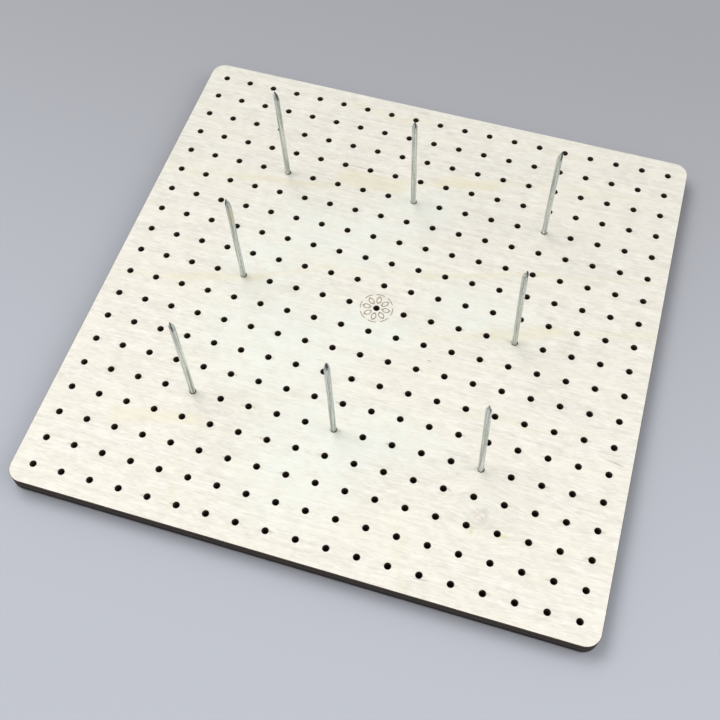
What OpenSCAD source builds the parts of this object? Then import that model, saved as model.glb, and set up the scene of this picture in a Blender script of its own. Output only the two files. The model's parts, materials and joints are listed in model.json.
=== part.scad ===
// Peg board for stretching crochet and knitted squares: a square sheet of
// five-ply birch with a grid of holes, and wire nails pushed up through it
// point first, their flat heads between the board and the table.
// X runs to the right, Y to the back and Z up. The origin is the centre of
// the foot: the plane under the nail heads.

/* [Board] */
// Width and depth of the square board
board_w = 300; // [240:1:420]
// Thickness of each of the five veneers
veneer_t = 1.8; // [1.2:0.05:1.85]
// Radius of the board's four corners
corner_r = 8; // [2:0.5:10]

/* [Holes] */
// Holes along each side of the grid
holes_per_side = 19; // [13:2:21]
// Distance from the outer holes' centres to the board's edge
edge_margin = 11; // [10.5:0.5:16]
// Diameter of a hole
hole_d = 3.4; // [3.4:0.05:3.8]

/* [Engraving] */
// Outer diameter of the rosette round the centre hole
rosette_d = 18.4; // [14:0.2:20]
// Width of an engraved line
line_w = 0.5; // [0.3:0.05:0.6]
// Depth of the engraving
line_depth = 0.2; // [0.1:0.05:0.4]

/* [Nails] */
// Diameter of a nail's shank
nail_d = 3; // [2.8:0.05:3]
// Length of a nail from the underside of its head to its tip
nail_reach = 76.1; // [50:0.1:90]
// Length of the four flat facets that make the point
point_len = 5; // [3:0.25:7]
// Diameter of a nail's head
head_d = 7; // [6:0.1:8]
// Thickness of a nail's head
head_t = 1.4; // [1:0.05:2]
// Holes from the centre nail hole to the next nail, along X and along Y
nail_step = 5; // [2:1:5]

/* [Hidden] */
$fn = 48;

veneers = 5;
head_gap = 0.05;                      // play between a head and the board's underside
board_z = head_t + head_gap;          // underside of the board
board_t = veneers * veneer_t;
grid_half = (holes_per_side - 1) / 2; // holes on each side of the centre hole
pitch = (board_w - 2 * edge_margin) / (holes_per_side - 1);
petals = 8;
petal_start = 2.8;                    // inner end of a petal, from the centre
petal_gap = 0.7;                      // between a petal's outer end and the ring
petal_w = 3;
ring_gap = 2.4;                       // break in the ring between two petals
head_bevel = 0.25;
tip_flat = 0.15;                      // height taken off the point's theoretical tip
cutter = 10;                          // half-size of the blocks that cut the facets

birch = "#EFE8DA";
burnt_birch = "#5A4433";
zinc = "#B4BAB6";

// ---- board ----

module rounded_square(width, radius) {
    square([width - 2 * radius, width], center = true);
    square([width, width - 2 * radius], center = true);
    for (sx = [-1, 1], sy = [-1, 1])
        translate([sx * (width / 2 - radius), sy * (width / 2 - radius)])
            circle(r = radius);
}

module hole_grid() {
    for (i = [-grid_half : grid_half], j = [-grid_half : grid_half])
        translate([i * pitch, j * pitch])
            circle(d = hole_d);
}

// One sheet of the plywood; level 0 is the lowest
module veneer(level) {
    translate([0, 0, board_z + level * veneer_t])
        linear_extrude(height = veneer_t)
            difference() {
                rounded_square(board_w, corner_r);
                hole_grid();
            }
}

// A leaf shape along X: where two equal circles overlap
module leaf(length, width) {
    radius = (length * length + width * width) / (4 * width);
    intersection() {
        translate([0, radius - width / 2])
            circle(r = radius);
        translate([0, width / 2 - radius])
            circle(r = radius);
    }
}

module petal_line() {
    length = rosette_d / 2 - line_w - petal_gap - petal_start;
    translate([petal_start + length / 2, 0])
        difference() {
            leaf(length, petal_w);
            leaf(length - 4 * line_w, petal_w - 2 * line_w);
        }
}

module broken_ring() {
    difference() {
        circle(d = rosette_d);
        circle(d = rosette_d - 2 * line_w);
        for (k = [0 : petals - 1])
            rotate((k + 0.5) * 360 / petals)
                translate([rosette_d / 2, 0])
                    square([4 * line_w, ring_gap], center = true);
    }
}

module rosette() {
    broken_ring();
    for (k = [0 : petals - 1])
        rotate(k * 360 / petals)
            petal_line();
}

module face_veneer() {
    color(birch)
        difference() {
            veneer(4);
            translate([0, 0, board_z + board_t - line_depth])
                linear_extrude(height = line_depth + 1)
                    rosette();
        }
}

module upper_crossband() {
    color(burnt_birch) veneer(3);
}

module core_veneer() {
    color(burnt_birch) veneer(2);
}

module lower_crossband() {
    color(burnt_birch) veneer(1);
}

module back_veneer() {
    color(burnt_birch) veneer(0);
}

// ---- nails ----

// A flat disc with bevelled rims, lying on the table
module nail_head() {
    rotate_extrude()
        polygon([
            [0, 0],
            [head_d / 2 - head_bevel, 0],
            [head_d / 2, head_bevel],
            [head_d / 2, head_t - head_bevel],
            [head_d / 2 - head_bevel, head_t],
            [0, head_t]
        ]);
}

// A round wire along Z from low to high, its end cut to a diamond point
module shank(low, high) {
    facet_angle = atan(nail_d / 2 / point_len);
    difference() {
        translate([0, 0, low])
            cylinder(d = nail_d, h = high - low);
        for (k = [0 : 3])
            rotate([0, 0, 90 * k])
                translate([0, 0, high + tip_flat])
                    rotate([0, -facet_angle, 0])
                        translate([0, -cutter, -cutter])
                            cube(2 * cutter);
    }
}

// A nail in the hole at [column, row], counted in nail steps from the centre.
// The head lies flat. The shank leans to the left and to the front about the
// middle of the hole, within the hole's clearance; turn aims its facets.
module nail(column, row, lean_left, lean_front, turn) {
    slope = [cos(lean_front) * sin(-lean_left), -sin(lean_front), cos(lean_front) * cos(lean_left)];
    hole_mid = board_z + board_t / 2;
    head_mid = head_t / 2;
    drop = (hole_mid - head_mid) / slope[2];
    color(zinc)
        translate([column * nail_step * pitch, row * nail_step * pitch, 0]) {
            translate([-slope[0] * drop, -slope[1] * drop, 0])
                nail_head();
            translate([0, 0, hole_mid])
                rotate([lean_front, -lean_left, 0])
                    rotate([0, 0, turn])
                        shank(-drop, nail_reach - (hole_mid - head_t));
        }
}

module nail_back_left() { nail(-1, 1, 1.9, 1.25, 35); }
module nail_back_middle() { nail(0, 1, 1.6, 0.8, 10); }
module nail_back_right() { nail(1, 1, 1.0, -0.6, 60); }
module nail_middle_left() { nail(-1, 0, 1.2, 0.9, 20); }
module nail_middle_right() { nail(1, 0, 2.2, 0.5, 50); }
module nail_front_left() { nail(-1, -1, 0.8, 0.2, 5); }
module nail_front_middle() { nail(0, -1, 1.6, 0, 40); }
module nail_front_right() { nail(1, -1, 2.3, 0, 25); }

face_veneer();
upper_crossband();
core_veneer();
lower_crossband();
back_veneer();
nail_back_left();
nail_back_middle();
nail_back_right();
nail_middle_left();
nail_middle_right();
nail_front_left();
nail_front_middle();
nail_front_right();
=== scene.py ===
"""A birch blocking board for crochet squares: five veneers with a grid of laser-cut
holes, eight galvanised nails standing up through them, and a rosette engraved round
the centre hole. It lies on a pale floor under soft studio light.

Everything is in metres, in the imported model's frame: X to the right, Y to the back
and Z up. Materials work in millimetres, which keeps their numbers readable."""
import json
import math

import bmesh
import bpy
from mathutils import Euler, Matrix, Quaternion, Vector

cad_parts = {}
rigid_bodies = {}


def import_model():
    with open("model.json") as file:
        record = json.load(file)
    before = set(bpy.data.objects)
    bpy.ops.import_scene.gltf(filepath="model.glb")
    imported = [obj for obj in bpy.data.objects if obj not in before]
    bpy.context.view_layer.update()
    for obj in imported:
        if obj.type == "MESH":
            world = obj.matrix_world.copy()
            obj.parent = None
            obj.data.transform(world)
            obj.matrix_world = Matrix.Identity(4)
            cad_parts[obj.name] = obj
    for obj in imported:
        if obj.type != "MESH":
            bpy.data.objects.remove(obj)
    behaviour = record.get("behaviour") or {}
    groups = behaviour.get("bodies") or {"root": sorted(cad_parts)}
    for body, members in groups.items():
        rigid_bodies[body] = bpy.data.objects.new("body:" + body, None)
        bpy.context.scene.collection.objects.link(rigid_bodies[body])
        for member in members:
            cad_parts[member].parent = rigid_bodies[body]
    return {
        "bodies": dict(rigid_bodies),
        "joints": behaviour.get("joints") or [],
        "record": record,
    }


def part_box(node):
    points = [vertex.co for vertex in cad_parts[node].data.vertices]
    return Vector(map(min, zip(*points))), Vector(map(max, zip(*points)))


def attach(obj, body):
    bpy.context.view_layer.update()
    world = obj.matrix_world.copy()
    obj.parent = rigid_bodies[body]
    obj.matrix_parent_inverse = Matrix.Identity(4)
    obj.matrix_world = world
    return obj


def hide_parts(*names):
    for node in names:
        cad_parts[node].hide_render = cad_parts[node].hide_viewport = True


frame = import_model()
bpy.context.view_layer.update()


# ---- sizes ----

MM = 0.001


def mount_dims(name):
    """The sizes, in millimetres, of the record's mount of that name."""
    return next(m["dims"] for m in frame["record"]["mounts"] if m["name"] == name)


HOLES_PER_SIDE = 19
GRID_HALF = (HOLES_PER_SIDE - 1) // 2      # holes on each side of the centre hole
PITCH = mount_dims("holes_18_by_18")["spacing_x_mm"] * MM / (HOLES_PER_SIDE - 1)
PITCH_MM = PITCH / MM
HOLE_R = mount_dims("centre_hole")["r_mm"] * MM
GRID_EDGE = (GRID_HALF + 0.5) * PITCH      # outer side of the outermost holes' cells

BOARD_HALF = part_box("face_veneer")[1].x
BOARD_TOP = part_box("face_veneer")[1].z
BOARD_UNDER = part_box("back_veneer")[0].z
HOLE_MID = (BOARD_TOP + BOARD_UNDER) / 2
CORNER_R = 8 * MM
RIM_WEAR = 0.09 * MM                       # burnt bevel round each hole
EDGE_WEAR = 0.2 * MM                       # burnt bevel along the board's outer edges
PLY_LINE = 0.06 * MM                       # depth of the line between two veneers
SAME = MM / 1000                           # places closer than this count as one

ROSETTE_D = 18.4 * MM
LINE_W = 0.5 * MM
LINE_DEPTH = 0.2 * MM
PETALS = 8
PETAL_START = 2.8 * MM                     # from the centre to a petal's inner tip
PETAL_GAP = 0.7 * MM                       # from a petal's outer tip to the ring
PETAL_W = 3 * MM
RING_GAP = 2.4 * MM                        # between two arcs of the ring
CURVE_STEPS = 12                           # along each side of a petal, and along each arc

NAIL_STEP = 5                              # holes from one nail to the next
NAIL_R = 1.5 * MM
HEAD_R = 3.5 * MM
HEAD_GAP = 0.05 * MM                       # play between a head and the board
HEAD_T = BOARD_UNDER - HEAD_GAP
HEAD_ROUND = 0.25 * MM
HEAD_ROUND_STEPS = 4
POINT_LEN = 5 * MM
TIP_FLAT = 0.15 * MM                       # how much the point's sharp apex is cut short
GRIPS = 5                                  # grooves round the shank above its head
GRIP_START = 1.2 * MM
GRIP_SPACING = 0.9 * MM
GRIP_DEPTH = 0.07 * MM
GRIP_HALF = 0.2 * MM
CHEQUER_LINES = 7                          # grooves each way across the underside of a head
CHEQUER_REACH = 2.9 * MM
CHEQUER_SPACING = 0.8 * MM
CHEQUER_HALF = 0.11 * MM
CHEQUER_DEPTH = 0.12 * MM
# For each nail: how far its four facets are turned about its length in degrees, and in
# millimetres how far to the right of the wire's middle the point was pinched, and the dark
# streak down from the point: how far right it ends, its half width and
# its length
POINTS = {
    "nail_back_left": (17, -0.6, 1.25, 0.40, 7.0),
    "nail_back_middle": (50, 0.1, 0.5, 0.50, 5.0),
    "nail_back_right": (17, 0.7, 0.3, 0.50, 6.5),
    "nail_middle_left": (20, -0.6, -1.2, 0.45, 5.0),
    "nail_middle_right": (17, 0.7, 1.3, 0.60, 5.5),
    "nail_front_left": (12, -0.5, 0.4, 0.45, 7.0),
    "nail_front_middle": (17, 0.0, 0.2, 0.95, 4.5),
    "nail_front_right": (45, 0.0, 0.9, 0.30, 5.5),
}
PHOTO_RIGHT = (0.96, 0.29, 0.0)
YELLOW_STAINS = {"nail_middle_left": 0.7}  # how yellow a nail is below its point; the rest aren't

HOLE_SEGMENTS = 24                         # a multiple of 8, so that cells meet corner to corner
CORNER_SEGMENTS = 14
NAIL_SEGMENTS = 48
VENEER_CREASE = 25                         # degrees between faces that make a sharp edge
NAIL_CREASE = 12


# ---- mesh helpers ----

def polar(point):
    """The angle at which the point is seen from the centre, from -pi to pi."""
    return math.atan2(point[1], point[0])


def new_object(name, bm, materials):
    """An object made from bm, with its normals outwards, in the scene."""
    bmesh.ops.recalc_face_normals(bm, faces=bm.faces)
    mesh = bpy.data.meshes.new(name)
    bm.to_mesh(mesh)
    bm.free()
    for material in materials:
        mesh.materials.append(material)
    piece = bpy.data.objects.new(name, mesh)
    bpy.context.scene.collection.objects.link(piece)
    return piece


def combine(piece, tool, operation):
    """piece becomes its difference or union with tool, and tool goes."""
    modifier = piece.modifiers.new("combine", "BOOLEAN")
    modifier.operation = operation
    modifier.solver = "EXACT"
    modifier.object = tool
    bpy.context.view_layer.update()
    result = bpy.data.meshes.new_from_object(piece.evaluated_get(bpy.context.evaluated_depsgraph_get()))
    piece.modifiers.clear()
    result.name = piece.name
    piece.data = result
    bpy.data.objects.remove(tool)


def shade_smooth(piece, sharp_angle):
    """Smooth shading, with creases where two faces meet at more than sharp_angle degrees."""
    piece.data.shade_smooth()
    piece.data.set_sharp_from_angle(angle=math.radians(sharp_angle))


def join_rings(bm, lower, upper, material=0):
    """Quads between two closed rings with as many vertices each."""
    for k in range(len(lower)):
        n = (k + 1) % len(lower)
        bm.faces.new((lower[k], lower[n], upper[n], upper[k])).material_index = material


def zip_rings(bm, inner, outer, material=0):
    """Triangles between two closed rings with different numbers of vertices, one inside
    the other, each in order of polar angle."""
    def angle(ring, k):
        return polar(ring[k % len(ring)].co) + 2 * math.pi * (k // len(ring))

    i = j = 0
    while i < len(inner) or j < len(outer):
        here = (inner[i % len(inner)], outer[j % len(outer)])
        if j >= len(outer) or (i < len(inner) and angle(inner, i + 1) < angle(outer, j + 1)):
            i += 1
            face = bm.faces.new((*here, inner[i % len(inner)]))
        else:
            j += 1
            face = bm.faces.new((*here, outer[j % len(outer)]))
        face.material_index = material


def strip_prism(bm, left, right, low, high, closed):
    """A prism standing from low to high over the strip between two lines of points."""
    rows = []
    for z in (low, high):
        for line in (left, right):
            rows.append([bm.verts.new((x, y, z)) for x, y in line])
    low_left, low_right, high_left, high_right = rows
    count = len(left)
    for k in range(count if closed else count - 1):
        n = (k + 1) % count
        for a, b in ((low_left, low_right), (low_right, high_right),
                     (high_right, high_left), (high_left, low_left)):
            bm.faces.new((a[k], a[n], b[n], b[k]))
    if not closed:
        for k in (0, -1):
            bm.faces.new((low_left[k], low_right[k], high_right[k], high_left[k]))


# ---- the board's veneers ----

WOOD, BURNT, ENGRAVED = 0, 1, 2            # material slots of a veneer


def hole_ring(radius, centre):
    """Points round a hole."""
    step = 2 * math.pi / HOLE_SEGMENTS
    return [(centre[0] + radius * math.cos(k * step), centre[1] + radius * math.sin(k * step))
            for k in range(HOLE_SEGMENTS)]


def cell_ring(centre):
    """Points round the square cell of a hole, in the same directions as hole_ring's."""
    points = []
    for x, y in hole_ring(1, (0, 0)):
        reach = PITCH / 2 / max(abs(x), abs(y))
        points.append((centre[0] + x * reach, centre[1] + y * reach))
    return points


def outline(inset):
    """Points round the board's outline, moved in by inset, in order of polar angle."""
    middle = BOARD_HALF - CORNER_R
    radius = CORNER_R - inset
    points = []
    for quarter in range(4):
        for k in range(CORNER_SEGMENTS + 1):
            a = math.pi / 2 * (quarter + k / CORNER_SEGMENTS)
            side_x = 1 if quarter in (0, 3) else -1
            side_y = 1 if quarter in (0, 1) else -1
            points.append((side_x * middle + radius * math.cos(a),
                           side_y * middle + radius * math.sin(a)))
    # The long straight sides get a point beside each cell, which keeps the zipped triangles short
    for side in (-1, 1):
        for k in range(-GRID_HALF, GRID_HALF):
            along = (k + 0.5) * PITCH
            points += [(side * (BOARD_HALF - inset), along), (along, side * (BOARD_HALF - inset))]
    return sorted(points, key=polar)


def at_height(points, z):
    return [(x, y, z) for x, y in points]


def bore_rings(centre, low, high, is_top, is_bottom):
    """Rings of points from a cell's upper face, down through its hole, to its lower face."""
    rings = [at_height(cell_ring(centre), high)]
    if is_top:
        rings.append(at_height(hole_ring(HOLE_R + RIM_WEAR, centre), high))
    rings.append(at_height(hole_ring(HOLE_R, centre), high - (RIM_WEAR if is_top else 0)))
    rings.append(at_height(hole_ring(HOLE_R, centre), low + (RIM_WEAR if is_bottom else 0)))
    if is_bottom:
        rings.append(at_height(hole_ring(HOLE_R + RIM_WEAR, centre), low))
    rings.append(at_height(cell_ring(centre), low))
    return rings


def add_cells(bm, low, high, is_top, is_bottom):
    """The part of a veneer that is holes and the square cells round them."""
    for i in range(-GRID_HALF, GRID_HALF + 1):
        for j in range(-GRID_HALF, GRID_HALF + 1):
            rings = bore_rings((i * PITCH, j * PITCH), low, high, is_top, is_bottom)
            rings = [[bm.verts.new(point) for point in ring] for ring in rings]
            last = len(rings) - 2
            for k in range(last + 1):
                join_rings(bm, rings[k], rings[k + 1], WOOD if k in (0, last) else BURNT)
    bmesh.ops.remove_doubles(bm, verts=bm.verts, dist=SAME)


def add_margin(bm, low, high, is_top, is_bottom):
    """The part of a veneer between the outermost cells and the outline, with its edges."""
    top_wear = EDGE_WEAR if is_top else PLY_LINE
    bottom_wear = EDGE_WEAR if is_bottom else PLY_LINE
    sides = [
        at_height(outline(top_wear), high), at_height(outline(0), high - top_wear),
        at_height(outline(0), low + bottom_wear), at_height(outline(bottom_wear), low),
    ]
    sides = [[bm.verts.new(point) for point in ring] for ring in sides]
    for upper, lower in zip(sides, sides[1:]):
        join_rings(bm, upper, lower, BURNT)
    for ring, z in ((sides[0], high), (sides[-1], low)):
        border = [v for v in bm.verts if abs(v.co.z - z) < SAME
                  and abs(max(abs(v.co.x), abs(v.co.y)) - GRID_EDGE) < SAME]
        zip_rings(bm, sorted(border, key=lambda v: polar(v.co)), ring, WOOD)


def veneer(node, materials):
    """One sheet of the plywood as its own closed mesh, in place of its CAD node."""
    low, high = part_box(node)[0].z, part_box(node)[1].z
    is_top = node == "face_veneer"
    is_bottom = node == "back_veneer"
    bm = bmesh.new()
    add_cells(bm, low, high, is_top, is_bottom)
    add_margin(bm, low, high, is_top, is_bottom)
    piece = new_object(node + "_sheet", bm, materials)
    if is_top:
        engrave(piece, high)
    shade_smooth(piece, VENEER_CREASE)
    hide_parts(node)
    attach(piece, "board")


def leaf(length, width, middle, turn):
    """Points round a leaf shape whose length points away from the centre."""
    radius = (length ** 2 + width ** 2) / (4 * width)
    half_angle = math.asin(length / 2 / radius)
    points = []
    for side in (1, -1):
        for k in range(CURVE_STEPS):
            a = half_angle * (1 - 2 * k / CURVE_STEPS)
            x = side * radius * math.sin(a)
            y = side * (radius * math.cos(a) - radius + width / 2)
            points.append(((middle + x) * math.cos(turn) - y * math.sin(turn),
                           (middle + x) * math.sin(turn) + y * math.cos(turn)))
    return points


def arc(radius, middle_angle, half_angle):
    """Points along an arc about the centre."""
    angles = [middle_angle + half_angle * (2 * k / CURVE_STEPS - 1) for k in range(CURVE_STEPS + 1)]
    return [(radius * math.cos(a), radius * math.sin(a)) for a in angles]


def engrave(piece, surface):
    """Cuts the rosette's lines into the face veneer."""
    ring_r = ROSETTE_D / 2
    length = ring_r - LINE_W - PETAL_GAP - PETAL_START
    middle = PETAL_START + length / 2
    bm = bmesh.new()
    depths = (surface - LINE_DEPTH, surface + LINE_DEPTH)
    half = math.pi / PETALS - RING_GAP / 2 / ring_r
    for k in range(PETALS):
        turn = 2 * math.pi * k / PETALS
        strip_prism(bm, leaf(length, PETAL_W, middle, turn),
                    leaf(length - 4 * LINE_W, PETAL_W - 2 * LINE_W, middle, turn), *depths, closed=True)
        strip_prism(bm, arc(ring_r, turn, half), arc(ring_r - LINE_W, turn, half), *depths, closed=False)
    combine(piece, new_object("rosette_cutter", bm, ()), "DIFFERENCE")
    for face in piece.data.polygons:
        in_rosette = HOLE_R + RIM_WEAR < face.center.xy.length < ring_r + MM
        in_line = depths[0] - 10 * SAME < face.center.z < surface - 10 * SAME
        if in_rosette and in_line:
            face.material_index = ENGRAVED


# ---- the nails ----

def nail_ring(radius, z):
    """Points round a nail that stands along Z."""
    step = 2 * math.pi / NAIL_SEGMENTS
    return [(radius * math.cos(k * step), radius * math.sin(k * step), z) for k in range(NAIL_SEGMENTS)]


def turned(profile):
    """A closed solid of revolution round Z; the profile's first and last rings are capped."""
    bm = bmesh.new()
    rings = [[bm.verts.new(point) for point in nail_ring(radius, z)] for radius, z in profile]
    for lower, upper in zip(rings, rings[1:]):
        join_rings(bm, lower, upper)
    bm.faces.new(rings[0])
    bm.faces.new(rings[-1])
    return bm


def shank(low, high, turn, skew):
    """The nail's wire along Z, with a few gripping grooves above the head and a point of
    four equally steep facets."""
    profile = [(NAIL_R, low)]
    for k in range(GRIPS):
        z = low + HEAD_T + GRIP_START + k * GRIP_SPACING
        profile += [(NAIL_R, z - GRIP_HALF), (NAIL_R - GRIP_DEPTH, z), (NAIL_R, z + GRIP_HALF)]
    profile.append((NAIL_R, high))
    bm = turned(profile)
    apex = Vector((skew, 0, high + TIP_FLAT))
    facet_angle = math.atan(NAIL_R / POINT_LEN)
    for k in range(4):
        a = math.radians(turn) + math.pi / 2 * k
        outwards = Vector((math.cos(a) * math.cos(facet_angle), math.sin(a) * math.cos(facet_angle),
                           math.sin(facet_angle)))
        cut = bmesh.ops.bisect_plane(bm, geom=bm.verts[:] + bm.edges[:] + bm.faces[:], dist=SAME / 10,
                                     plane_co=apex, plane_no=outwards, clear_outer=True)
        rim = [e for e in cut["geom_cut"] if isinstance(e, bmesh.types.BMEdge)]
        bmesh.ops.contextual_create(bm, geom=rim)
    return bm


def head_disc():
    """The flat head, lying on the floor, with rounded edges."""
    profile = []
    for start, centre_z in ((-math.pi / 2, HEAD_ROUND), (0, HEAD_T - HEAD_ROUND)):
        for k in range(HEAD_ROUND_STEPS + 1):
            a = start + math.pi / 2 * k / HEAD_ROUND_STEPS
            profile.append((HEAD_R - HEAD_ROUND + HEAD_ROUND * math.cos(a),
                            centre_z + HEAD_ROUND * math.sin(a)))
    return turned(profile)


def chequer_lines(along_x):
    """Thin bars across the head's underside, which cut its grooves."""
    bm = bmesh.new()
    for k in range(CHEQUER_LINES):
        offset = (k - CHEQUER_LINES // 2) * CHEQUER_SPACING
        half = math.sqrt(CHEQUER_REACH ** 2 - offset ** 2)
        lines = [[(-half, offset + side), (half, offset + side)]
                 for side in (-CHEQUER_HALF, CHEQUER_HALF)]
        if not along_x:
            lines = [[(y, x) for x, y in line] for line in lines]
        strip_prism(bm, *lines, -CHEQUER_DEPTH, CHEQUER_DEPTH, closed=False)
    return bm


def grid_place(node):
    """Column and row of a nail, in nail steps from the centre, from its name."""
    row_word, column_word = node.split("_")[1:]
    return ({"left": -1, "middle": 0, "right": 1}[column_word],
            {"front": -1, "middle": 0, "back": 1}[row_word])


def nail(node, axis):
    """One nail, leaning along its joint's axis through the middle of its hole."""
    turn, skew = POINTS[node][:2]
    column, row = grid_place(node)
    pivot = Vector((column * NAIL_STEP * PITCH, row * NAIL_STEP * PITCH, HOLE_MID))
    below = (pivot.z - HEAD_T / 2) / axis.z
    above = (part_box(node)[1].z - pivot.z) / axis.z
    material = zinc(node, pivot, axis)
    lean = Euler((math.asin(-axis.y), math.atan2(axis.x, axis.z), 0)).to_matrix().to_4x4()

    bm = head_disc()
    foot = pivot - axis * below
    stand = Matrix.Translation((foot.x, foot.y, 0))
    bm.transform(stand)
    piece = new_object(node + "_wire", bm, (material,))
    for along_x in (True, False):
        bm = chequer_lines(along_x)
        bm.transform(stand)
        combine(piece, new_object("chequer_cutter", bm, ()), "DIFFERENCE")
    bm = shank(-below, above, turn, skew * MM)
    bm.transform(Matrix.Translation(pivot) @ lean)
    combine(piece, new_object("shank", bm, (material,)), "UNION")
    shade_smooth(piece, NAIL_CREASE)
    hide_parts(node)
    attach(piece, node)


# ---- materials ----

class Shader:
    """A material under construction: each method adds a node and gives back its output."""

    def __init__(self, name):
        self.material = bpy.data.materials.new(name)
        self.material.use_nodes = True
        self.tree = self.material.node_tree
        self.surface = self.tree.nodes["Principled BSDF"]

    def set(self, socket, value):
        """A socket of the surface takes a constant or another node's output."""
        self._feed(self.surface.inputs[socket], value)

    def _feed(self, socket, value):
        if isinstance(value, bpy.types.NodeSocket):
            self.tree.links.new(value, socket)
        else:
            socket.default_value = value

    def _node(self, kind, inputs, output=0, **settings):
        node = self.tree.nodes.new(kind)
        for name, value in settings.items():
            setattr(node, name, value)
        for key, value in inputs.items():
            self._feed(node.inputs[key], value)
        return node.outputs[output]

    def place(self):
        """Where the point is in the model's frame at rest, in millimetres."""
        return self.stretch(self._node("ShaderNodeTexCoord", {}, "Object"), (1 / MM,) * 3)

    def normal(self):
        return self._node("ShaderNodeTexCoord", {}, "Normal")

    def stretch(self, vector, scale):
        return self._node("ShaderNodeVectorMath", {0: vector, 1: scale}, operation="MULTIPLY")

    def offset(self, vector, by):
        return self._node("ShaderNodeVectorMath", {0: vector, 1: by}, operation="ADD")

    def dot(self, vector, direction):
        inputs = {0: vector, 1: direction}
        return self._node("ShaderNodeVectorMath", inputs, "Value", operation="DOT_PRODUCT")

    def length(self, vector):
        return self.math("SQRT", self.dot(vector, vector))

    def part(self, vector, axis):
        """The vector's X, Y or Z for axis 0, 1 or 2."""
        return self._node("ShaderNodeSeparateXYZ", {0: vector}, axis)

    def vector(self, x, y, z):
        return self._node("ShaderNodeCombineXYZ", {0: x, 1: y, 2: z})

    def math(self, operation, a, b=0.0):
        return self._node("ShaderNodeMath", {0: a, 1: b}, operation=operation)

    def add(self, *values):
        total = values[0]
        for value in values[1:]:
            total = self.math("ADD", total, value)
        return total

    def times(self, *values):
        total = values[0]
        for value in values[1:]:
            total = self.math("MULTIPLY", total, value)
        return total

    def ease(self, value, start, end, low=0.0, high=1.0):
        """Goes smoothly from low to high as value goes from start to end."""
        inputs = {"Value": value, "From Min": start, "From Max": end, "To Min": low, "To Max": high}
        return self._node("ShaderNodeMapRange", inputs, interpolation_type="SMOOTHSTEP")

    def noise(self, vector, scale, detail=2.0, roughness=0.5):
        """Noise from 0 to 1 with features about 1/scale long along each axis."""
        inputs = {"Vector": self.stretch(vector, scale), "Scale": 1.0,
                  "Detail": detail, "Roughness": roughness}
        return self._node("ShaderNodeTexNoise", inputs)

    def chance(self, vector):
        """A random number from 0 to 1, the same wherever vector is the same."""
        return self._node("ShaderNodeTexWhiteNoise", {"Vector": vector}, "Value", noise_dimensions="3D")

    def mix(self, factor, a, b):
        """Colour a where factor is 0 and b where it is 1."""
        inputs = {0: factor, 6: a, 7: b}
        return self._node("ShaderNodeMix", inputs, 2, data_type="RGBA")

    def bump(self, height, depth):
        """Relief of that depth in metres where height goes from 0 to 1."""
        inputs = {"Height": height, "Distance": depth, "Strength": 1.0}
        self.set("Normal", self._node("ShaderNodeBump", inputs))


def rgb(red, green, blue):
    return (red, green, blue, 1.0)


FACE_PALE = rgb(0.868, 0.84, 0.772)        # clean birch, and its darker grain
FACE_SHADE = rgb(0.585, 0.557, 0.475)
HONEY = rgb(0.80, 0.76, 0.64)              # long warm streaks
COOL_GREEN = rgb(0.742, 0.785, 0.712)
RING_TAN = rgb(0.715, 0.664, 0.463)        # growth-ring bands
OLIVE = rgb(0.63, 0.61, 0.33)
FLECK_BROWN = rgb(0.24, 0.18, 0.12)
PAINTED_FAR_SHADE = rgb(0.10, 0.10, 0.10)          # painted shade: the board darkens a little to the back
FACE_SMOKE = rgb(0.34, 0.28, 0.20)
FACE_BURN = rgb(0.10, 0.06, 0.035)
KNOT_HAZE = rgb(0.50, 0.49, 0.44)
KNOT_HEART = rgb(0.62, 0.53, 0.44)
KNOT_RIM = rgb(0.42, 0.41, 0.38)
KNOT_SPECK = rgb(0.88, 0.85, 0.79)
BACK_PALE = rgb(0.78, 0.73, 0.62)
BACK_SHADE = rgb(0.60, 0.52, 0.38)
BACK_SMOKE = rgb(0.26, 0.18, 0.11)
BACK_BURN = rgb(0.08, 0.05, 0.03)
GLUED_PALE = rgb(0.68, 0.60, 0.46)
GLUED_SHADE = rgb(0.52, 0.40, 0.26)
LONG_CHAR = rgb(0.050, 0.036, 0.029)       # laser-cut walls: long grain, then end grain
LONG_BROWN = rgb(0.105, 0.078, 0.058)
END_CHAR = rgb(0.024, 0.019, 0.017)
END_BROWN = rgb(0.055, 0.042, 0.034)
SOOT = rgb(0.018, 0.014, 0.012)
LOWER_EDGE_BLACK = rgb(0.017, 0.017, 0.019)      # the walls' blacker lower edge, and how high it goes
LOWER_EDGE_HEIGHT = 3.0                          # in millimetres above the underside
BORE_BROWN = rgb(0.125, 0.095, 0.075)
TOAST_DARK = rgb(0.30, 0.245, 0.165)
TOAST_PALE = rgb(0.42, 0.355, 0.255)
ZINC_DULL = rgb(0.36, 0.40, 0.37)
ZINC_BRIGHT = rgb(0.82, 0.86, 0.83)
ZINC_COAT = rgb(0.30, 0.33, 0.31)
ZINC_YELLOW = rgb(0.62, 0.56, 0.36)
PINCH_DARK = rgb(0.10, 0.11, 0.10)
# a dark streak down from each nail's point
TIP_STREAK_DARK = rgb(0.045, 0.05, 0.045)
# The floor's colours at the back and at the front; the darker back is painted shade
FLOOR_FAR_SHADED = rgb(0.29, 0.293, 0.315)
FLOOR_NEAR = rgb(0.440, 0.457, 0.505)
WHITE = rgb(1.0, 1.0, 1.0)

HONEY_MOST = 0.30                          # how much of each tint the face takes at the most
COOL_MOST = 0.58
RING_MOST = 0.62
STAIN_MOST = 0.7
FLECK_MOST = 0.7
# the next is how much painted shade the face takes at the back, at the most
PAINTED_FAR_MOST = 0.165
FAR_REACH = 190                            # millimetres in front and behind, for PAINTED_FAR_SHADE
FACE_SMOKE_MOST = 0.42
BACK_SMOKE_MOST = 0.75

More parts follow.
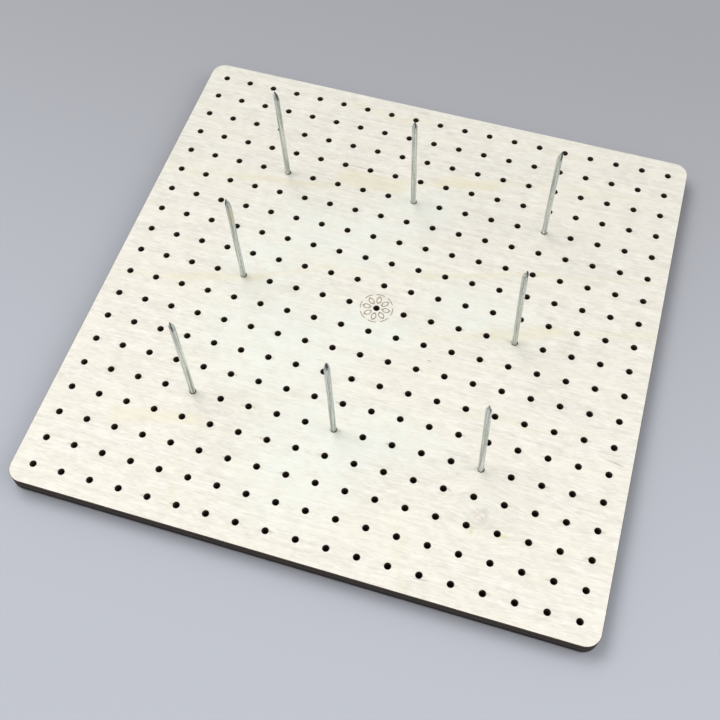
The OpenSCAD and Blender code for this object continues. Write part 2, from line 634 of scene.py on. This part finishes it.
PORE_DEPTH = 0.03 * MM                     # depth of each material's fine relief
CHAR_DEPTH = 0.05 * MM
TOAST_DEPTH = 0.04 * MM
COAT_DEPTH = 0.04 * MM

# The growth-ring bands of the face veneer: start and end in holes from the centre, half
# width in millimetres, and strength
FIGURE = (
    (-10.5, 3.7, -6.0, 4.4, 3.0, 0.45),
    (-6.5, 4.35, -3.2, 4.85, 3.6, 0.8),
    (-3.2, 5.35, -0.5, 5.55, 6.8, 0.85),
    (-0.7, 5.75, 0.8, 6.15, 3.2, 0.6),
    (0.7, 6.25, 3.0, 6.75, 5.6, 1.0),
    (2.6, 6.8, 6.0, 7.3, 3.0, 0.5),
    (5.6, 7.2, 10.5, 8.1, 2.2, 0.4),
    (-10.5, -1.3, -6.8, -0.7, 2.5, 0.4),
    (-7.6, -0.8, -4.2, 0.1, 4.0, 0.75),
    (-4.6, 0.0, -2.2, 1.2, 3.0, 0.45),
    (-2.6, 1.1, 1.6, 2.0, 2.2, 0.4),
    (1.4, 1.9, 5.4, 3.1, 3.2, 0.75),
    (5.2, 3.1, 10.5, 4.0, 2.0, 0.5),
    (1.8, -0.7, 4.6, 0.2, 3.0, 0.45),
    (4.0, 0.1, 6.4, 0.9, 5.0, 0.7),
    (6.0, 0.8, 10.5, 1.8, 3.5, 0.45),
    (-3.6, 9.4, -1.0, 8.8, 4.0, 0.5),
    (-1.5, 9.0, 6.0, 8.9, 2.2, 0.35),
    (4.0, -3.1, 6.8, -3.0, 2.5, 0.45),
    (-7.4, -6.6, -4.4, -6.0, 5.5, 0.6),
    (-4.8, -6.4, -4.0, -9.9, 2.5, 0.35),
    (-4.2, -5.0, -1.6, -4.2, 2.5, 0.3),
    (2.7, -7.0, 3.8, -10.0, 2.0, 0.45),
    (5.4, -6.9, 6.6, -7.2, 2.5, 0.5),
)
BAND_FADE = 5                              # millimetres, either side of a band's ends
BAND_EDGE = 3.2                            # millimetres, along a band's sides


def band(s, place, start_x, start_y, end_x, end_y, half_width, strength):
    """A soft band between two places on the board."""
    start = Vector((start_x * PITCH_MM, start_y * PITCH_MM, 0))
    run = Vector((end_x * PITCH_MM, end_y * PITCH_MM, 0)) - start
    length = run.length
    along_way = run / length
    across_way = Vector((-along_way.y, along_way.x, 0))
    local = s.offset(place, -start)
    along = s.math("ABSOLUTE", s.add(s.dot(local, along_way), -length / 2))
    across = s.math("ABSOLUTE", s.dot(local, across_way))
    return s.times(s.ease(along, length / 2 + BAND_FADE, length / 2 - BAND_FADE),
                   s.ease(across, half_width, max(half_width - BAND_EDGE, 0)), strength)


def wood_colour(s, place, pale, shade):
    """Rotary-cut birch with its grain along X: pores, short dashes, long soft streaks and
    mottling. Also gives back the heights of the pores and the dashes."""
    pores = s.noise(place, (0.35, 5.0, 0.35), 3.0, 0.6)
    dashes = s.noise(place, (0.2, 1.2, 0.2), 3.0, 0.65)
    streaks = s.noise(place, (0.03, 0.45, 0.1), 2.0)
    mottle = s.noise(place, (0.11, 0.17, 0.1), 2.0, 0.6)
    tone = s.add(s.ease(pores, 0.3, 0.7, 0.0, 0.18), s.ease(dashes, 0.3, 0.7, 0.0, 0.36),
                 s.ease(streaks, 0.3, 0.7, 0.0, 0.24), s.ease(mottle, 0.3, 0.7, 0.0, 0.22))
    return s.mix(tone, pale, shade), pores, dashes


BURN_OUTER = 0.20                          # millimetres from a hole's wall where its burn ends
BURN_INNER = 0.06                          # and where the burn is full
SMOKE_REACH = 3.4                          # longest tail of smoke beside a hole, in millimetres
SMOKE_SWAY = 2.6                           # how far a tail strays off the hole's middle
HAZE_REACH = 1.2


def hole_marks(s, place, smoke):
    """How burnt (0 to 1) and how smoked (0 to 1) the wood is beside the nearest hole. The
    smoke drifts from the hole to one or both sides, further where smoke is larger."""
    radius = HOLE_R / MM
    x, y = s.part(place, 0), s.part(place, 1)
    cells = []
    for value in (x, y):
        cell = s.math("ROUND", s.times(value, 1 / PITCH_MM))
        cells.append(s.math("MAXIMUM", s.math("MINIMUM", cell, GRID_HALF), -GRID_HALF))
    u = s.add(x, s.times(cells[0], -PITCH_MM))
    v = s.add(y, s.times(cells[1], -PITCH_MM))
    distance = s.math("SQRT", s.add(s.times(u, u), s.times(v, v)))
    luck = s.chance(s.vector(cells[0], cells[1], s.math("SIGN", u)))
    burnt = s.ease(distance, radius + BURN_OUTER, radius + BURN_INNER)
    drift = s.times(s.add(s.noise(place, (0.35, 0.35, 0.2)), -0.5), SMOKE_SWAY)
    thin = s.ease(s.math("ABSOLUTE", s.add(v, drift)), 0.9, 0.1)
    reach = s.add(radius, s.times(luck, SMOKE_REACH * smoke))
    tail = s.times(thin, s.ease(s.add(s.math("ABSOLUTE", u), s.times(reach, -1.0)), 0.0, -2.6), luck)
    haze = s.ease(distance, radius + HAZE_REACH * smoke, radius, 0.0, 0.12)
    return burnt, s.add(tail, haze)


# Cooler, greener patches of the face veneer: middle in holes from the centre, and reach
# in millimetres along and across the grain
COOL_PATCHES = (
    (-3.0, -2.4, 68, 52), (-2.2, 2.7, 70, 32), (0.3, 4.8, 34, 26), (-0.6, -6.4, 46, 50),
    (3.4, 0.9, 42, 22), (-4.6, 0.8, 32, 24), (1.6, -4.7, 50, 24), (0.4, -0.8, 36, 18),
)

# Small dark flecks and olive stains: middle in holes from the centre, half length and
# half width in millimetres, slope, and strength
FLECKS = (
    (2.35, -1.55, 2.0, 0.35, -0.05, 1.0),
    (9.1, -3.53, 7.0, 0.45, -0.16, 0.8),
    (4.1, -9.12, 5.0, 0.40, 0.1, 0.8),
    (-6.75, 0.4, 2.6, 0.30, 0.1, 0.5),
    (-1.3, -2.6, 2.2, 0.30, 0.2, 0.4),
    (-2.2, 6.03, 19.0, 0.55, 0.0, 0.45),
)
STAINS = (
    (5.2, -7.16, 1.4, 2.6, 0.0, 0.9),
    (6.2, -7.03, 3.2, 1.6, 0.25, 0.9),
    (8.2, 5.9, 2.0, 0.9, 0.4, 0.7),
    (-3.8, 5.97, 2.4, 0.9, 0.0, 0.7),
    (-7.0, -1.0, 3.0, 0.9, 0.2, 0.5),
    (7.15, -7.1, 1.4, 1.2, 0.0, 0.5),
)
KNOT_X = 5.27 * PITCH_MM                   # middle of the pin knot, in millimetres
KNOT_Y = -6.52 * PITCH_MM
KNOT_BEND = 26                             # how far out the grain bends round it
KNOT_REACH = 14                            # how far out its grey haze goes
KNOT_HEART_R = 4.6
KNOT_RIM_R = 6.2


def patch(s, place, x, y, reach_along, reach_across):
    """1 in the middle of a soft elliptical patch, and 0 outside it."""
    local = s.stretch(s.offset(place, (-x * PITCH_MM, -y * PITCH_MM, 0)),
                      (1 / reach_along, 1 / reach_across, 0))
    return s.ease(s.length(local), 1.0, 0.2)


def fleck(s, place, x, y, half_length, half_width, slope, strength):
    """1 in the middle of a small mark drawn out along the grain, and 0 outside it."""
    local = s.offset(place, (-x * PITCH_MM, -y * PITCH_MM, 0))
    along = s.times(s.part(local, 0), 1 / half_length)
    across = s.times(s.add(s.part(local, 1), s.times(s.part(local, 0), -slope)), 1 / half_width)
    distance = s.math("SQRT", s.add(s.times(along, along), s.times(across, across)))
    return s.ease(distance, 1.0, 0.3, 0.0, strength)


def round_knot(s, place):
    """How far the grain is pushed aside by the pin knot, and the distance from it."""
    local = s.stretch(s.offset(place, (-KNOT_X, -KNOT_Y, 0)), (1, 1, 0))
    distance = s.length(local)
    near = s.ease(distance, KNOT_BEND, 2)
    side = s.part(local, 1)
    return s.times(near, side, -0.75), distance


def knot_colour(s, place, from_knot, colour):
    """A grey haze round the pin knot, its clouded pinkish heart and pale specks in it."""
    clouds = s.noise(place, (0.38, 0.5, 0.3), 3.0, 0.6)
    reach = s.add(from_knot, s.times(s.add(clouds, -0.5), 7.0))
    haze = s.times(s.ease(reach, KNOT_REACH, 2.0), s.ease(clouds, 0.3, 0.7, 0.5, 1.0))
    colour = s.mix(s.times(haze, 0.32), colour, KNOT_HAZE)
    heart = s.times(s.ease(reach, KNOT_HEART_R, 2.0), s.ease(clouds, 0.36, 0.56))
    colour = s.mix(s.times(heart, 0.5), colour, KNOT_HEART)
    right = s.ease(s.part(place, 0), KNOT_X, KNOT_X + 3.0)
    rim = s.times(s.ease(reach, 2.0, 3.6), s.ease(reach, KNOT_RIM_R, KNOT_RIM_R - 2.0), right)
    colour = s.mix(s.times(rim, 0.30), colour, KNOT_RIM)
    specks = s.times(s.ease(from_knot, 5.0, 3.0), s.ease(clouds, 0.42, 0.34))
    return s.mix(s.times(specks, 0.4), colour, KNOT_SPECK)


def birch_face():
    """The top veneer, with everything that the photo shows on it."""
    s = Shader("birch_face")
    place = s.place()
    wander = s.times(s.add(s.noise(place, (0.022, 0.05, 0.05), 5.0, 0.6), -0.5), 17.0)
    wandering = s.offset(place, s.vector(wander, wander, 0.0))
    push, from_knot = round_knot(s, place)
    pushed = s.offset(place, s.vector(0.0, push, 0.0))
    colour, pores, dashes = wood_colour(s, pushed, FACE_PALE, FACE_SHADE)
    honey = s.noise(place, (0.014, 0.09, 0.1), 3.0, 0.6)
    colour = s.mix(s.ease(honey, 0.42, 0.66, 0.0, HONEY_MOST), colour, HONEY)
    cool = s.math("MINIMUM", s.add(*(patch(s, wandering, *values) for values in COOL_PATCHES)), 1.0)
    blotch = s.ease(s.noise(place, (0.09, 0.12, 0.1), 4.0, 0.65), 0.32, 0.6, 0.2, 1.0)
    colour = s.mix(s.times(cool, blotch, COOL_MOST), colour, COOL_GREEN)
    figure = s.math("MINIMUM", s.add(*(band(s, wandering, *values) for values in FIGURE)), 1.0)
    ragged = s.ease(s.noise(place, (0.06, 0.5, 0.2), 3.0, 0.6), 0.2, 0.7, 0.75, 1.0)
    colour = s.mix(s.times(figure, ragged, RING_MOST), colour, RING_TAN)
    stains = s.add(*(fleck(s, place, *values) for values in STAINS))
    colour = s.mix(s.times(stains, STAIN_MOST), colour, OLIVE)
    flecks = s.add(*(fleck(s, place, *values) for values in FLECKS))
    colour = s.mix(s.times(flecks, FLECK_MOST), colour, FLECK_BROWN)
    colour = knot_colour(s, place, from_knot, colour)
    # Painted shade: the face darkens towards the back, where the light falls off
    painted_falloff = s.ease(s.part(place, 1), -FAR_REACH, FAR_REACH)
    colour = s.mix(s.times(painted_falloff, PAINTED_FAR_MOST), colour, PAINTED_FAR_SHADE)
    burnt, smoked = hole_marks(s, place, 1.0)
    colour = s.mix(s.times(smoked, FACE_SMOKE_MOST), colour, FACE_SMOKE)
    colour = s.mix(burnt, colour, FACE_BURN)
    s.set("Base Color", colour)
    s.set("Roughness", s.ease(dashes, 0.2, 0.8, 0.50, 0.62))
    s.set("Specular IOR Level", 0.35)
    s.bump(s.add(pores, dashes), PORE_DEPTH)
    return s.material


def birch_back():
    """The bottom veneer: plainer wood, with more smoke beside its holes."""
    s = Shader("birch_back")
    place = s.place()
    elsewhere = s.offset(place, (37.0, 91.0, 0.0))
    colour, pores, dashes = wood_colour(s, elsewhere, BACK_PALE, BACK_SHADE)
    burnt, smoked = hole_marks(s, place, 1.6)
    colour = s.mix(s.times(smoked, BACK_SMOKE_MOST), colour, BACK_SMOKE)
    colour = s.mix(burnt, colour, BACK_BURN)
    s.set("Base Color", colour)
    s.set("Roughness", s.ease(dashes, 0.2, 0.8, 0.52, 0.66))
    s.set("Specular IOR Level", 0.3)
    s.bump(s.add(pores, dashes), PORE_DEPTH)
    return s.material


def birch_inner(name, along_x):
    """The flat faces between two veneers, brown with dried glue."""
    s = Shader(name)
    place = s.place()
    if not along_x:
        place = s.vector(s.part(place, 1), s.part(place, 0), s.part(place, 2))
    colour, pores, dashes = wood_colour(s, place, GLUED_PALE, GLUED_SHADE)
    s.set("Base Color", colour)
    s.set("Roughness", s.ease(dashes, 0.2, 0.8, 0.55, 0.7))
    s.bump(pores, PORE_DEPTH)
    return s.material


def burnt_birch(name, along_x):
    """A laser-cut wall: near black end grain, browner long grain, with upright streaks and
    a blacker lower edge."""
    s = Shader(name)
    place = s.place()
    end_grain = s.ease(s.math("ABSOLUTE", s.part(s.normal(), 0 if along_x else 1)), 0.2, 0.9)
    strokes = s.noise(place, (2.2, 2.2, 0.25), 3.0, 0.6)
    patches = s.noise(place, (0.12, 0.12, 0.3), 2.0)
    long_colour = s.mix(s.ease(strokes, 0.35, 0.75), LONG_CHAR, LONG_BROWN)
    end_colour = s.mix(s.ease(strokes, 0.35, 0.75), END_CHAR, END_BROWN)
    colour = s.mix(end_grain, long_colour, end_colour)
    colour = s.mix(s.ease(patches, 0.5, 0.8, 0.0, 0.5), colour, SOOT)
    # The walls are blacker over their lowest few millimetres
    height = s.add(s.part(place, 2), -BOARD_UNDER / MM)
    colour = s.mix(s.ease(height, LOWER_EDGE_HEIGHT, LOWER_EDGE_HEIGHT - 1.0, 0.0, 0.8), colour, LOWER_EDGE_BLACK)
    from_middle = s.math("MAXIMUM", s.math("ABSOLUTE", s.part(place, 0)),
                         s.math("ABSOLUTE", s.part(place, 1)))
    in_hole = s.ease(from_middle, BOARD_HALF / MM - 1.0, BOARD_HALF / MM - 3.0)
    colour = s.mix(s.times(in_hole, 0.5), colour, BORE_BROWN)
    s.set("Base Color", colour)
    s.set("Roughness", s.ease(strokes, 0.2, 0.8, 0.6, 0.85))
    s.set("Specular IOR Level", 0.25)
    s.bump(strokes, CHAR_DEPTH)
    return s.material


def engraved_birch():
    """Wood lightly toasted by the engraving laser."""
    s = Shader("birch_engraved")
    place = s.place()
    strokes = s.noise(place, (0.8, 7.0, 0.5), 3.0, 0.6)
    s.set("Base Color", s.mix(s.ease(strokes, 0.3, 0.7), TOAST_DARK, TOAST_PALE))
    s.set("Roughness", s.ease(strokes, 0.2, 0.8, 0.6, 0.8))
    s.bump(strokes, TOAST_DEPTH)
    return s.material


def zinc(node, pivot, axis):
    """Galvanised wire: drawn lines along it, a mottled coat, a yellow stain on some nails
    below the point, and at the point pinch marks and a dark streak down from it."""
    skew, mark_end, mark_half, mark_len = POINTS[node][1:]
    s = Shader("zinc_" + node)
    place = s.place()
    z = s.part(place, 2)
    middle = s.offset(s.stretch(s.vector(z, z, z), tuple(axis / axis.z)),
                      tuple((pivot - axis * (pivot.z / axis.z)) / MM))
    around = s.offset(place, s.stretch(middle, (-1, -1, 0)))
    local = s.offset(around, (pivot.x / MM, pivot.y / MM, 0))
    drawn = s.noise(local, (1.9, 1.9, 0.03), 3.0, 0.6)
    coat = s.noise(local, (1.6, 1.6, 0.6), 4.0, 0.7)
    colour = s.mix(s.ease(drawn, 0.38, 0.62), ZINC_DULL, ZINC_BRIGHT)
    colour = s.mix(s.ease(coat, 0.50, 0.68, 0.0, 0.6), colour, ZINC_COAT)
    drop = s.add(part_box(node)[1].z / MM, s.times(z, -1.0))
    if node in YELLOW_STAINS:
        yellow = s.times(s.ease(drop, 21.0, 15.0), s.ease(drop, 5.0, 9.0), s.ease(drawn, 0.3, 0.6))
        colour = s.mix(s.times(yellow, YELLOW_STAINS[node]), colour, ZINC_YELLOW)
    marks = s.noise(local, (2.0, 2.0, 0.4), 3.0, 0.6)
    pinched = s.times(s.ease(drop, 7.0, 4.5), s.ease(marks, 0.50, 0.64), 0.5)
    colour = s.mix(pinched, colour, PINCH_DARK)
    # A dark streak down from the point, off the wire's middle
    centre = s.add(skew, s.times(drop, (mark_end - skew) / mark_len))
    ragged = s.times(s.add(marks, -0.5), 0.9)
    beside = s.math("ABSOLUTE", s.add(s.dot(around, PHOTO_RIGHT), s.times(centre, -1.0), ragged))
    mark = s.times(s.ease(beside, mark_half, mark_half * 0.4), s.ease(drop, mark_len, mark_len - 2.0))
    colour = s.mix(s.times(mark, 0.92), colour, TIP_STREAK_DARK)
    s.set("Base Color", colour)
    s.set("Metallic", 0.7)
    s.set("Roughness", s.ease(coat, 0.2, 0.8, 0.30, 0.52))
    s.bump(s.add(drawn, coat), COAT_DEPTH)
    return s.material


# ---- stage, light and camera ----

FLOOR_HALF = 3.0
FLOOR_FAR_Y = 330                          # millimetres; between them the floor goes from darker to paler, painted shade that darkens it to the back
FLOOR_NEAR_Y = -270
WINDOW_POWER = 51.5
FILL_POWER = 5.2
ROOM_GLOW = (0.34, 0.74)                   # strength at the horizon and overhead
OVERHEAD = 0.9                             # height of direction at which it is overhead, out of 1
CAMERA_AT = Vector((82.5, -299.7, 486.8)) * MM
CAMERA_AIM = Vector((0.9, -34.0, 10.45)) * MM
CAMERA_ROLL = -0.3                         # degrees
CAMERA_LENS = 51.9


def floor():
    """A pale floor with painted shade that darkens it towards the back, which sinks beneath any nail
    that slides down out of the board.
    """
    bm = bmesh.new()
    bm.faces.new([bm.verts.new((x * FLOOR_HALF, y * FLOOR_HALF, 0))
                  for x, y in ((-1, -1), (1, -1), (1, 1), (-1, 1))])
    s = Shader("pale_floor")
    # Painted shade: the floor is darker towards the back
    nearness = s.ease(s.part(s.place(), 1), FLOOR_FAR_Y, FLOOR_NEAR_Y)
    s.set("Base Color", s.mix(nearness, FLOOR_FAR_SHADED, FLOOR_NEAR))
    s.set("Roughness", 0.85)
    s.set("Specular IOR Level", 0.2)
    piece = new_object("floor", bm, (s.material,))
    for node in POINTS:
        limit = piece.constraints.new("FLOOR")
        limit.target = frame["bodies"][node]
        limit.floor_location = "FLOOR_NEGATIVE_Z"


def softbox(name, at, aim, size, power):
    """A rectangular light that faces aim; size is its width and its height."""
    light = bpy.data.lights.new(name, "AREA")
    light.shape = "RECTANGLE"
    light.size, light.size_y = size
    light.energy = power
    lamp = bpy.data.objects.new(name, light)
    lamp.location = at
    lamp.rotation_euler = (Vector(aim) - Vector(at)).to_track_quat("-Z", "Y").to_euler()
    bpy.context.scene.collection.objects.link(lamp)


def studio():
    """A white room that is brighter overhead than at the walls, a window on the left and a
    weaker fill light on the right."""
    world = bpy.data.worlds.new("soft_room")
    world.use_nodes = True
    nodes = world.node_tree.nodes
    links = world.node_tree.links
    direction = nodes.new("ShaderNodeTexCoord")
    height = nodes.new("ShaderNodeSeparateXYZ")
    glow = nodes.new("ShaderNodeMapRange")
    glow.interpolation_type = "SMOOTHSTEP"
    settings = {"From Min": 0.0, "From Max": OVERHEAD, "To Min": ROOM_GLOW[0], "To Max": ROOM_GLOW[1]}
    for socket, value in settings.items():
        glow.inputs[socket].default_value = value
    links.new(direction.outputs["Generated"], height.inputs[0])
    links.new(height.outputs["Z"], glow.inputs["Value"])
    links.new(glow.outputs[0], nodes["Background"].inputs["Strength"])
    nodes["Background"].inputs["Color"].default_value = WHITE
    bpy.context.scene.world = world
    softbox("window", (-1.4, 0.6, 2.4), (0, 0, 0), (2.3, 1.5), WINDOW_POWER)
    softbox("fill", (1.0, 0.0, 0.8), (0, 0, 0), (1.2, 0.8), FILL_POWER)


def camera():
    """The photo's view: from above the front edge, a little to the right."""
    data = bpy.data.cameras.new("camera")
    data.lens = CAMERA_LENS
    data.sensor_width = 36
    data.clip_start = 0.01
    eye = bpy.data.objects.new("camera", data)
    eye.location = CAMERA_AT
    level = (CAMERA_AIM - CAMERA_AT).to_track_quat("-Z", "Y")
    eye.rotation_euler = (level @ Quaternion((0, 0, 1), math.radians(CAMERA_ROLL))).to_euler()
    bpy.context.scene.collection.objects.link(eye)
    bpy.context.scene.camera = eye
    bpy.context.scene.view_settings.view_transform = "Standard"


# ---- the whole ----

camera()
studio()
floor()

burnt = {True: burnt_birch("burnt_long", True), False: burnt_birch("burnt_cross", False)}
inner = {True: birch_inner("birch_core", True), False: birch_inner("birch_crossband", False)}
veneer("face_veneer", (birch_face(), burnt[True], engraved_birch()))
veneer("upper_crossband", (inner[False], burnt[False]))
veneer("core_veneer", (inner[True], burnt[True]))
veneer("lower_crossband", (inner[False], burnt[False]))
veneer("back_veneer", (birch_back(), burnt[True]))

for joint in frame["joints"]:
    nail(joint["child"], Vector(joint["axis"]))
